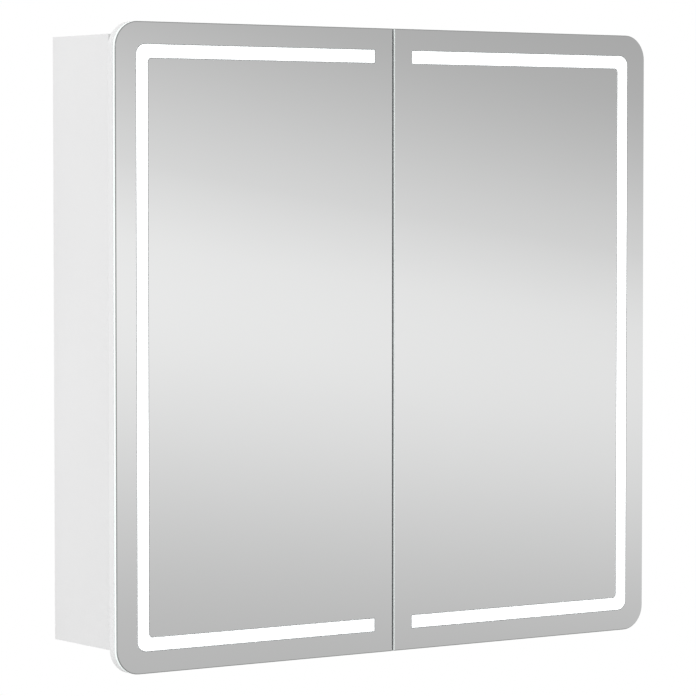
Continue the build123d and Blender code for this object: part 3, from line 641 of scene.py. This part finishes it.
def make_rubber():
    """Matt rubber with a dusty bloom."""
    finish = Finish("grey_rubber")
    tone = colours().rubber
    bloom = finish.noise(scale=260.0, detail=5.0, roughness=0.65)
    finish.relief(finish.noise(scale=2200.0, detail=2.0), strength=0.2, distance=0.0001)
    return finish.set(
        Base_Color=finish.drift(bloom, shade(tone, 0.85), shade(tone, 1.35)),
        Roughness=finish.between(bloom, 0.66, 0.85),
    ).material


def make_silicone():
    """Clear silicone, slightly cloudy."""
    finish = Finish("clear_silicone")
    cloud = finish.noise(scale=420.0, detail=3.0)
    return finish.set(
        Base_Color=finish.drift(cloud, tint(0.84, 0.86, 0.87), tint(0.94, 0.95, 0.96)),
        Roughness=finish.between(cloud, 0.16, 0.3),
        Transmission_Weight=0.7,
        IOR=1.41,
    ).material


def make_sheath():
    """White lead sheath with the faint rings that drawing leaves on it."""
    finish = Finish("lead_sheath")
    ring = finish.streaks((900.0, 900.0, 500.0), detail=2.0, roughness=0.5)
    finish.relief(ring, strength=0.08, distance=0.0001)
    return finish.set(
        Base_Color=finish.drift(ring, tint(0.74, 0.74, 0.735), tint(0.8, 0.8, 0.795)),
        Roughness=finish.between(ring, 0.34, 0.46),
    ).material


def make_floor():
    """Pale matt floor with a faint trowelled cloud, and a painted glow that grows towards its rim
    so that it fades into the white room.
    """
    finish = Finish("pale_floor")
    tone = colours().floor
    reach = sizes().floor_radius
    distance = finish.add("ShaderNodeVectorMath", operation="LENGTH")
    finish.put(distance.inputs[0], finish.stretch((1.0, 1.0, 0.0)))
    # painted glow: none near the middle, growing towards the rim
    fade = finish.between(
        distance.outputs["Value"], 0.0, 0.4, start=0.3 * reach, end=0.98 * reach
    )
    cloud = finish.noise(scale=0.9, detail=5.0, roughness=0.6)
    scuffs = finish.noise(scale=14.0, detail=4.0)
    finish.relief(finish.noise(scale=60.0, detail=4.0), strength=0.05, distance=0.001)
    return finish.set(
        Base_Color=finish.drift(cloud, shade(tone, 0.985), shade(tone, 1.0)),
        Roughness=finish.between(scuffs, 0.6, 0.75),
        Emission_Color=WHITE,
        Emission_Strength=fade,
    ).material


MAKERS = {
    "silvering": make_silvering,
    "arris": make_arris,
    "glass_edge": make_glass_edge,
    "painted_seam_shade": make_painted_seam_shade,
    "etched_line": make_etched_line,
    "band": make_band,
    "lacquer": make_lacquer,
    "door_lacquer": make_door_lacquer,
    "backing": make_backing,
    "shelf_glass": make_shelf_glass,
    "shelf_edge": make_shelf_edge,
    "foam": make_foam,
    "opal": make_opal,
    "circuit": make_circuit,
    "nickel": make_nickel,
    "zinc": make_zinc,
    "cast_zinc": make_cast_zinc,
    "galvanised": make_galvanised,
    "magnet": make_magnet,
    "beech": make_beech,
    "plastic": make_plastic,
    "gloss_plastic": make_gloss_plastic,
    "driver_case": make_driver_case,
    "nylon": make_nylon,
    "rubber": make_rubber,
    "silicone": make_silicone,
    "sheath": make_sheath,
    "floor": make_floor,
}
made = {}


def finish_of(name):
    """The finish of that name, made the first time that it is asked for."""
    if name not in made:
        made[name] = MAKERS[name]()
    return made[name]


# ---------------------------------------------------------------- modelling helpers


def only(piece):
    """That piece alone is selected and active."""
    bpy.ops.object.select_all(action="DESELECT")
    piece.select_set(True)
    bpy.context.view_layer.objects.active = piece


def dress(piece, *finishes):
    """The piece's material slots, in order."""
    piece.data.materials.clear()
    for name in finishes:
        piece.data.materials.append(finish_of(name))


def body_of(node):
    return frame["nodes"][node]["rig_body"]


def dress_node(node, finish):
    """A CAD node stays as it is, and gets a finish."""
    shown = frame["nodes"][node]
    if not shown.data.materials:
        shown.data.materials.append(finish_of(finish))
    for index in range(len(shown.data.materials)):
        shown.data.materials[index] = finish_of(finish)


def copy_of(node, name):
    """A merged copy of a CAD node, to be shaped further."""
    source = frame["nodes"][node]
    piece = bpy.data.objects.new(name, source.data.copy())
    bpy.context.scene.collection.objects.link(piece)
    only(piece)
    bpy.ops.object.mode_set(mode="EDIT")
    bpy.ops.mesh.select_all(action="SELECT")
    bpy.ops.mesh.remove_doubles(threshold=MERGE_REACH)
    bpy.ops.mesh.dissolve_limited(angle_limit=math.radians(FLAT_ANGLE))
    bpy.ops.mesh.select_all(action="DESELECT")
    bpy.ops.object.mode_set(mode="OBJECT")
    if piece.data.has_custom_normals:
        bpy.ops.mesh.customdata_custom_splitnormals_clear()
    return piece


def edges_with_normals(mesh):
    """Each edge between two faces, with its two corner places and the faces' normals."""
    normals = {}
    for face in mesh.polygons:
        for key in face.edge_keys:
            normals.setdefault(key, []).append(face.normal.copy())
    for edge in mesh.edges:
        if len(normals.get(edge.key, ())) == 2:
            corners = (mesh.vertices[number].co for number in edge.vertices)
            yield edge, *corners, *normals[edge.key]


def select_edges(piece, wanted):
    """Selects the edges whose corner places and face normals are wanted, and counts them."""
    mesh = piece.data
    for part in (*mesh.polygons, *mesh.edges, *mesh.vertices):
        part.select = False
    count = 0
    for edge, start, end, first, second in edges_with_normals(mesh):
        if wanted(start, end, first, second):
            edge.select = True
            for number in edge.vertices:
                mesh.vertices[number].select = True
            count += 1
    return count


def bevel_selected(piece, width, segments):
    """Bevels the selected edges in edit mode."""
    bpy.ops.object.mode_set(mode="EDIT")
    bpy.ops.mesh.select_mode(type="EDGE")
    bpy.ops.mesh.bevel(offset=width, segments=segments, affect="EDGES", clamp_overlap=True)
    bpy.ops.mesh.select_all(action="DESELECT")
    bpy.ops.object.mode_set(mode="OBJECT")


def bevel_by_width(piece, width_of):
    """Bevels each edge by the width that width_of gives it, and 0 leaves it sharp."""
    found = {}
    for edge, start, end, first, second in edges_with_normals(piece.data):
        width = width_of(start, end, first, second)
        if width > 0.0:
            found[edge.index] = width
    if not found:
        raise RuntimeError(f"{piece.name} has no edge to bevel")
    widest = max(found.values())
    weight = piece.data.attributes.new("bevel_weight_edge", "FLOAT", "EDGE")
    for index, width in found.items():
        weight.data[index].value = width / widest
    only(piece)
    bevel = piece.modifiers.new("arris", "BEVEL")
    bevel.limit_method = "WEIGHT"
    bevel.width = widest
    bevel.segments = 1
    bpy.ops.object.modifier_apply(modifier=bevel.name)
    left = piece.data.attributes.get("bevel_weight_edge")
    if left:
        piece.data.attributes.remove(left)


def smooth(piece, angle=32.0):
    """Smooth shading across edges flatter than that angle in degrees."""
    only(piece)
    bpy.ops.object.shade_smooth_by_angle(angle=math.radians(angle))


def softened(node, name, width, shortest, segments=2, sharp=50.0):
    """A copy of a CAD node whose long sharp edges are rounded."""
    piece = copy_of(node, name)
    limit = math.cos(math.radians(sharp))

    def long_and_sharp(start, end, first, second):
        return (start - end).length > shortest and first.dot(second) < limit

    if select_edges(piece, long_and_sharp):
        bevel_selected(piece, width, segments)
    return piece


def settle(piece, node):
    """The piece rides on its node's body, and stands for that node."""
    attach(piece, body_of(node))
    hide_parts(node)


def rounded_piece(node, width, shortest, finish, segments=2):
    """A node's rounded copy, finished and settled."""
    piece = softened(node, node + "_finished", width, shortest, segments)
    dress(piece, finish)
    smooth(piece)
    settle(piece, node)


def meets_front(start, end, first, second, front):
    """Whether a sharp edge lies in the front face."""
    flush = abs(start.y - front) < SAME_PLACE and abs(end.y - front) < SAME_PLACE
    return flush and first.dot(second) < 0.5


# ---------------------------------------------------------------- the pieces


class CABINET_OT_stage(bpy.types.Operator):
    """Sets the camera, the soft studio light and the pale floor"""

    bl_idname = "cabinet.stage"
    bl_label = "Stage"

    def execute(self, context):
        self.camera(context)
        self.studio(context)
        self.lamp(
            "side_light", place=(-3.0, -0.5, -1.15), aim=(-0.322, -0.05, -0.3), size=3.0, power=22.0
        )
        self.lamp(
            "front_light", place=(0.5, -3.6, 0.3), aim=(0.0, 0.0, -0.25), size=2.0, power=26.0
        )
        self.floor()
        return {"FINISHED"}

    def camera(self, context):
        data = bpy.data.cameras.new("camera")
        data.sensor_width = SENSOR_WIDTH
        data.lens = sizes().lens
        data.clip_end = CLIP_END
        camera = bpy.data.objects.new("camera", data)
        camera.location = CAMERA_PLACE
        camera.rotation_euler = (
            math.radians(90.0 - CAMERA_DIP),
            0.0,
            math.radians(-CAMERA_TURN),
        )
        context.scene.collection.objects.link(camera)
        context.scene.camera = camera
        context.scene.view_settings.view_transform = "Standard"

    def studio(self, context):
        """A white room whose light falls off in a soft tilted band at eye level."""
        world = bpy.data.worlds.new("studio")
        context.scene.world = world
        world.use_nodes = True
        room = Nodes(world.node_tree)
        room.tree.nodes.clear()

        direction = room.add("ShaderNodeTexCoord").outputs["Generated"]
        split = room.add("ShaderNodeSeparateXYZ", Vector=direction)
        height = split.outputs["Z"]
        sight = room.add("ShaderNodeVectorMath", operation="DOT_PRODUCT")
        room.put(sight.inputs[0], direction)
        turn = math.radians(STUDIO_TURN)
        room.put(sight.inputs[1], (math.cos(turn), math.sin(turn), 0.0))
        across = sight.outputs["Value"]

        slope = room.between(height, 0.10, 0.216, start=-0.12, end=0.04)
        level = room.math("ADD", height, room.math("MULTIPLY", slope, across))
        sideways = room.between(across, 1.06, 0.94, start=-0.12, end=0.12)
        left = room.between(across, 1.45, 1.0, start=-0.97, end=-0.85)
        behind = room.between(split.outputs["Y"], 1.0, 1.6, start=0.30, end=0.55)
        strength = room.math("MULTIPLY", room.math("MULTIPLY", sideways, left), behind)
        light = room.add("ShaderNodeBackground", Color=self.levels(room, level), Strength=strength)

        backdrop = room.add("ShaderNodeBackground", Color=WHITE)
        seen = room.add("ShaderNodeLightPath").outputs["Is Camera Ray"]
        choice = room.add("ShaderNodeMixShader")
        for socket, value in zip(choice.inputs, (seen, light.outputs[0], backdrop.outputs[0])):
            room.put(socket, value)
        output = room.add("ShaderNodeOutputWorld")
        room.put(output.inputs["Surface"], choice.outputs[0])

    def levels(self, room, level):
        """The studio's brightness at a level."""
        lowest, highest = STUDIO_LEVELS[0][0], STUDIO_LEVELS[-1][0]
        span = highest - lowest
        ramp = room.add("ShaderNodeValToRGB")
        bar = ramp.color_ramp
        bar.interpolation = "B_SPLINE"
        marks_at_first = len(bar.elements)
        for number, (at, value) in enumerate(STUDIO_LEVELS):
            spot = (at - lowest) / span
            mark = bar.elements[number] if number < marks_at_first else bar.elements.new(spot)
            mark.position = spot
            mark.color = tint(value, value, value)
        from_lowest = room.math("SUBTRACT", level, lowest)
        room.put(ramp.inputs["Fac"], room.math("DIVIDE", from_lowest, span))
        return ramp.outputs["Color"]

    def lamp(self, name, place, aim, size, power):
        """A large soft light that leaves no reflection."""
        data = bpy.data.lights.new(name, "AREA")
        data.shape = "DISK"
        data.size = size
        data.energy = power
        lamp = bpy.data.objects.new(name, data)
        lamp.location = place
        lamp.rotation_euler = (Vector(aim) - Vector(place)).to_track_quat("-Z", "Y").to_euler()
        lamp.visible_glossy = False
        bpy.context.scene.collection.objects.link(lamp)

    def floor(self):
        bpy.ops.object.select_all(action="DESELECT")
        bpy.ops.mesh.primitive_circle_add(
            vertices=96,
            radius=sizes().floor_radius,
            fill_type="NGON",
            location=(0.0, 0.0, -sizes().floor_drop),
        )
        floor = bpy.context.object
        floor.name = "floor"
        bpy.ops.object.transform_apply(location=True, rotation=True, scale=True)
        dress(floor, "floor")


class CABINET_OT_mirrors(bpy.types.Operator):
    """Finishes the mirrors: ground arris all round, an outer edge with a painted glow, a painted
    shade along the seam, silvered face
    """

    bl_idname = "cabinet.mirrors"
    bl_label = "Mirrors"

    def execute(self, context):
        for side in SIDES:
            self.mirror(side)
        return {"FINISHED"}

    def mirror(self, side):
        node = f"{side}_mirror_glass"
        low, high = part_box(node)
        piece = copy_of(node, f"{side}_mirror")

        def on_rim(point):
            return (
                point.x < low.x + RIM
                or point.x > high.x - RIM
                or point.z < low.z + RIM
                or point.z > high.z - RIM
            )

        def width_of(start, end, first, second):
            if not meets_front(start, end, first, second, low.y):
                return 0.0
            if abs(start.x) < SEAM and abs(end.x) < SEAM:
                return sizes().seam_arris
            return sizes().arris if on_rim(start) and on_rim(end) else sizes().etched_line

        bevel_by_width(piece, width_of)
        dress(piece, "silvering", "arris", "glass_edge", "painted_seam_shade", "etched_line")
        silvered, arris, bright, seam_shading, etched = range(5)
        for face in piece.data.polygons:
            middle = face.center
            if face.normal.y < FRONT_FACING:
                face.material_index = silvered
            # the edges along the seam take the grey painted shade of the gap between the doors
            elif abs(middle.x) < SEAM:
                face.material_index = seam_shading
            # the outer edges take the painted glow
            elif not FRONT_FACING < face.normal.y < SLANTED:
                face.material_index = bright
            else:
                face.material_index = arris if on_rim(middle) else etched
        smooth(piece)
        settle(piece, node)


class CABINET_OT_bands(bpy.types.Operator):
    """Finishes the lit frosted bands"""

    bl_idname = "cabinet.bands"
    bl_label = "Frosted bands"

    def execute(self, context):
        for side in SIDES:
            self.band(f"{side}_frosted_band")
        return {"FINISHED"}

    def band(self, node):
        piece = copy_of(node, node + "_finished")
        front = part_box(node)[0].y

        def width_of(start, end, first, second):
            return sizes().etched_line if meets_front(start, end, first, second, front) else 0.0

        bevel_by_width(piece, width_of)
        dress(piece, "band", "etched_line")
        frosted, etched = range(2)
        for face in piece.data.polygons:
            slanted = FRONT_FACING < face.normal.y < SLANTED
            face.material_index = etched if slanted else frosted
        smooth(piece)
        settle(piece, node)


class CABINET_OT_door_panels(bpy.types.Operator):
    """Rounds and lacquers the door panels"""

    bl_idname = "cabinet.door_panels"
    bl_label = "Door panels"

    def execute(self, context):
        for side in SIDES:
            rounded_piece(
                f"{side}_door_panel", sizes().door_round, 0.03, "door_lacquer"
            )
            dress_node(f"{side}_mounting_tape", "foam")
            dress_node(f"{side}_diffuser", "opal")
            dress_node(f"{side}_led_strip", "circuit")
        return {"FINISHED"}


class CABINET_OT_case_boards(bpy.types.Operator):
    """Rounds and lacquers the boards of the case"""

    bl_idname = "cabinet.case_boards"
    bl_label = "Case boards"

    def execute(self, context):
        for node in (
            "left_side_panel",
            "right_side_panel",
            "top_panel",
            "bottom_panel",
            "centre_divider",
        ):
            rounded_piece(node, sizes().board_round, 0.02, "lacquer")
        rounded_piece(
            "back_panel", sizes().back_round, 0.05, "backing", segments=1
        )
        return {"FINISHED"}


class CABINET_OT_shelves(bpy.types.Operator):
    """Polishes the glass shelves and finishes their pins"""

    bl_idname = "cabinet.shelves"
    bl_label = "Glass shelves"

    def execute(self, context):
        for side in SIDES:
            for level in ("lower", "upper"):
                self.shelf(f"{side}_{level}_shelf")
        dress_node("shelf_pins", "nickel")
        return {"FINISHED"}

    def shelf(self, node):
        piece = softened(
            node, node + "_finished", sizes().shelf_round, 0.0004, segments=3, sharp=60.0
        )
        dress(piece, "shelf_glass", "shelf_edge")
        clear, edge = range(2)
        level = 0.97
        for face in piece.data.polygons:
            face.material_index = clear if abs(face.normal.z) > level else edge
        smooth(piece)
        settle(piece, node)


class CABINET_OT_hinges(bpy.types.Operator):
    """Rounds and plates the hinges"""

    bl_idname = "cabinet.hinges"
    bl_label = "Hinges"

    def execute(self, context):
        for node in ("hinge_arms", "hinge_plates"):
            rounded_piece(node, sizes().metal_round, 0.004, "nickel")
        dress_node("hinge_screws", "zinc")
        for side in SIDES:
            dress_node(f"{side}_hinge_cups", "nickel")
            dress_node(f"{side}_hinge_pins", "zinc")
            dress_node(f"{side}_door_screws", "zinc")
        return {"FINISHED"}


class CABINET_OT_catches(bpy.types.Operator):
    """Finishes the magnetic catches, strike plates and bumpers"""

    bl_idname = "cabinet.catches"
    bl_label = "Catches"

    def execute(self, context):
        rounded_piece("catches", sizes().catch_round, 0.005, "plastic")
        dress_node("catch_magnets", "magnet")
        for side in SIDES:
            rounded_piece(
                f"{side}_strike_plate", sizes().metal_round, 0.004, "zinc"
            )
            dress_node(f"{side}_bumpers", "silicone")
            dress_node(f"{side}_lead_grommet", "rubber")
        return {"FINISHED"}


class CABINET_OT_power_unit(bpy.types.Operator):
    """Finishes the power box, its cover, socket, switch, driver and terminals"""

    bl_idname = "cabinet.power_unit"
    bl_label = "Power unit"

    def execute(self, context):
        width = sizes().plastic_round
        rounded_piece("power_box", width, 0.012, "plastic")
        rounded_piece("power_cover", width, 0.02, "gloss_plastic")
        rounded_piece(
            "switch_rocker", sizes().rocker_round, 0.004, "gloss_plastic"
        )
        rounded_piece("led_driver", width, 0.012, "driver_case")
        dress_node("socket_insert", "gloss_plastic")
        dress_node("switch_frame", "gloss_plastic")
        dress_node("terminal_block", "nylon")
        dress_node("inlet_grommet", "rubber")
        return {"FINISHED"}


class CABINET_OT_hanging(bpy.types.Operator):
    """Finishes the wall rail and the adjustable hanging brackets"""

    bl_idname = "cabinet.hanging"
    bl_label = "Hanging rail and brackets"

    def execute(self, context):
        rounded_piece("wall_rail", sizes().metal_round, 0.02, "galvanised")
        rounded_piece("wall_brackets", sizes().plastic_round, 0.008, "plastic")
        dress_node("bracket_hooks", "zinc")
        dress_node("bracket_adjusters", "zinc")
        return {"FINISHED"}


class CABINET_OT_fixings(bpy.types.Operator):
    """Finishes the cam locks, dowels and case screws"""

    bl_idname = "cabinet.fixings"
    bl_label = "Fixings"

    def execute(self, context):
        for node, finish in (
            ("cam_bolts", "zinc"),
            ("cam_locks", "cast_zinc"),
            ("wood_dowels", "beech"),
            ("case_screws", "zinc"),
        ):
            dress_node(node, finish)
        return {"FINISHED"}


class CABINET_OT_leads(bpy.types.Operator):
    """Finishes the leads to the doors and their clips, and lays the loops from the case wall into
    the doors
    """

    bl_idname = "cabinet.leads"
    bl_label = "Door leads"

    def execute(self, context):
        dress_node("door_leads", "sheath")
        dress_node("cable_clips", "plastic")
        for side in SIDES:
            self.loop(side)
        return {"FINISHED"}

    def loop(self, side):
        """A lead that leaves the case wall and turns forward into the door."""
        node = f"{side}_lead_loop"
        hand = -1.0 if side == "left" else 1.0
        wall, door = hand * 0.3015, hand * 0.29515
        clipped, grommet = -0.080, -0.290
        route = [
            (wall, clipped, -0.190),
            (wall, clipped, -0.225),
            (wall, clipped, -0.262),
            (door, -0.0805, -0.284),
            (door, -0.088, grommet),
            (door, -0.111, grommet),
        ]
        line = bpy.data.curves.new(node, "CURVE")
        line.dimensions = "3D"
        line.resolution_u = 16
        line.bevel_depth = sizes().lead_radius
        line.bevel_resolution = 5
        line.use_fill_caps = True
        spline = line.splines.new("NURBS")
        spline.points.add(len(route) - 1)
        for point, place in zip(spline.points, route):
            point.co = (*place, 1.0)
        spline.order_u = 3
        spline.use_endpoint_u = True
        piece = bpy.data.objects.new(f"{side}_lead", line)
        bpy.context.scene.collection.objects.link(piece)
        only(piece)
        bpy.ops.object.convert(target="MESH")
        piece = bpy.context.object
        bpy.ops.object.mode_set(mode="EDIT")
        bpy.ops.mesh.select_all(action="SELECT")
        bpy.ops.mesh.remove_doubles(threshold=MERGE_REACH)
        bpy.ops.mesh.normals_make_consistent(inside=False)
        bpy.ops.object.mode_set(mode="OBJECT")
        dress(piece, "sheath")
        smooth(piece, angle=50.0)
        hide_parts(node)
        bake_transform(piece)


OPERATORS = (
    CABINET_OT_stage,
    CABINET_OT_mirrors,
    CABINET_OT_bands,
    CABINET_OT_door_panels,
    CABINET_OT_case_boards,
    CABINET_OT_shelves,
    CABINET_OT_hinges,
    CABINET_OT_catches,
    CABINET_OT_power_unit,
    CABINET_OT_hanging,
    CABINET_OT_fixings,
    CABINET_OT_leads,
)


class CABINET_PT_panel(bpy.types.Panel):
    """Lists the sizes, the colours and the steps"""

    bl_idname = "CABINET_PT_panel"
    bl_label = "Mirror cabinet"
    bl_space_type = "VIEW_3D"
    bl_region_type = "UI"
    bl_category = "Cabinet"

    def draw(self, context):
        for group in (context.scene.cabinet_sizes, context.scene.cabinet_colours):
            for name in group.__annotations__:
                self.layout.prop(group, name)
        for step in OPERATORS:
            self.layout.operator(step.bl_idname)


CLASSES = (CabinetSizes, CabinetColours) + OPERATORS + (CABINET_PT_panel,)


def register():
    for cls in CLASSES:
        bpy.utils.register_class(cls)
    bpy.types.Scene.cabinet_sizes = bpy.props.PointerProperty(type=CabinetSizes)
    bpy.types.Scene.cabinet_colours = bpy.props.PointerProperty(type=CabinetColours)


def unregister():
    del bpy.types.Scene.cabinet_colours
    del bpy.types.Scene.cabinet_sizes
    for cls in reversed(CLASSES):
        bpy.utils.unregister_class(cls)


def main():
    register()
    for step in OPERATORS:
        group, name = step.bl_idname.split(".")
        result = getattr(getattr(bpy.ops, group), name)()
        if "FINISHED" not in result:
            raise RuntimeError(f"{step.bl_label} did not finish")


if __name__ == "__main__":
    main()
